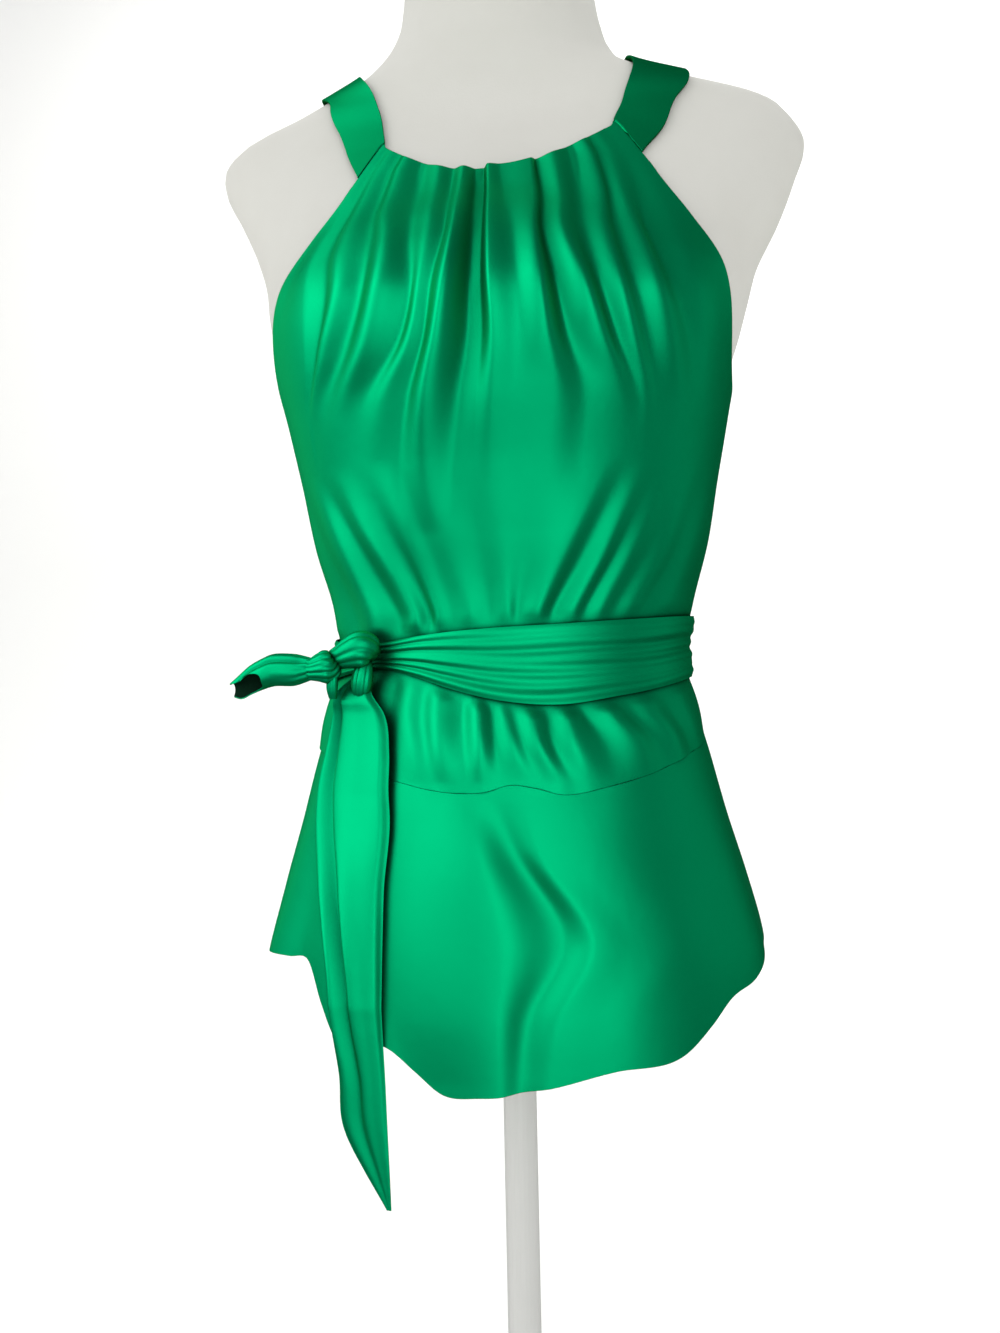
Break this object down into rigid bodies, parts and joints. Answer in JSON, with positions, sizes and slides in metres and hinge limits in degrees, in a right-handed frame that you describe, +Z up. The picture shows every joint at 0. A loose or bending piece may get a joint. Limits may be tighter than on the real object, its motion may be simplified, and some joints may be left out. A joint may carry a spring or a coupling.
{
  "type": "sleeveless blouse on dress form",
  "caption": "Green satin halter-neck blouse with a gathered front, a tied waist sash and a flared hem panel, on a white limbless dress form.",
  "frame": {"origin": "middle of the stand base's flat underside", "axes": "+Z up along the pole to the form's neck, -Y out of the blouse's front, +X towards the wearer's left"},
  "size_m": [0.397, 0.3, 1.062],
  "materials": {
    "satin": "satin",
    "form_cover": "matte",
    "stand": "satin"
  },
  "bodies": {
    "root": {"front_bodice": "satin", "back_bodice": "satin", "front_hem_panel": "satin", "back_hem_panel": "satin", "neckband": "satin", "sash_wrap": "satin", "sash_knot": "satin", "sash_throat": "satin", "bow_loop": "satin", "sash_tail": "satin", "dress_form": "form_cover", "stand_pole": "stand", "stand_base": "stand"}
  },
  "joints": []
}
